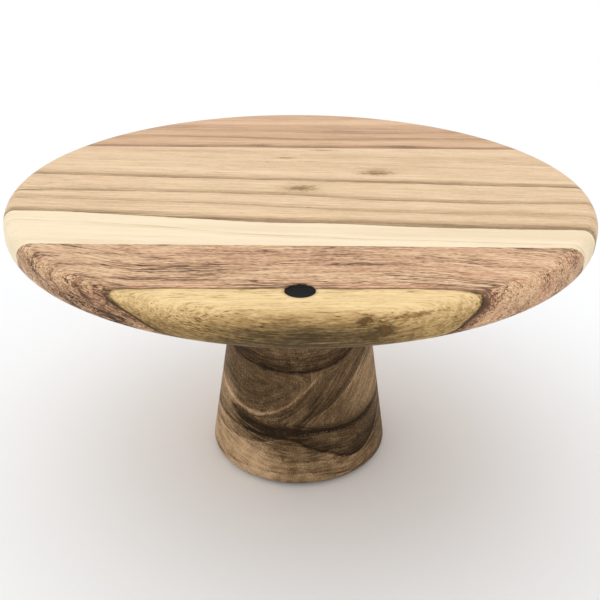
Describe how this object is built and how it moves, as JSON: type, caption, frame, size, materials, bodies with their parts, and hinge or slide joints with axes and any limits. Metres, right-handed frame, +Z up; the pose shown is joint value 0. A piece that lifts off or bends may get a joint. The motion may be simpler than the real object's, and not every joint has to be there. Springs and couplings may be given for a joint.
{
  "type": "cake stand",
  "caption": "Round wooden cake stand: a flat plate of edge-glued planks with a rounded rim, on a solid turned conical pedestal that unscrews, with a small burnt round mark.",
  "frame": {"origin": "middle of the footprint, on the surface that the stand rests on", "axes": "+Z up through the pedestal to the serving surface; -Y towards the side with the burnt mark; X along the planks and their glue joints"},
  "size_m": [0.3, 0.3, 0.16],
  "materials": {
    "plank_back_wood": "satin oiled hardwood, reddish streaks",
    "plank_centre_wood": "satin oiled hardwood, heartwood to cream sapwood",
    "plank_front_wood": "satin oiled hardwood, coarse dark pores, golden sapwood edge",
    "pedestal_wood": "satin oiled dark hardwood with curved growth rings",
    "insert_metal": "zinc-plated",
    "bolt_metal": "zinc-plated",
    "felt": "pressed brown felt"
  },
  "bodies": {
    "root": {"plank_back": "plank_back_wood", "plank_centre": "plank_centre_wood", "plank_front": "plank_front_wood", "pedestal": "pedestal_wood", "threaded_insert": "insert_metal", "hanger_bolt": "bolt_metal", "felt_pad_1": "felt", "felt_pad_2": "felt", "felt_pad_3": "felt", "felt_pad_4": "felt"}
  },
  "joints": []
}
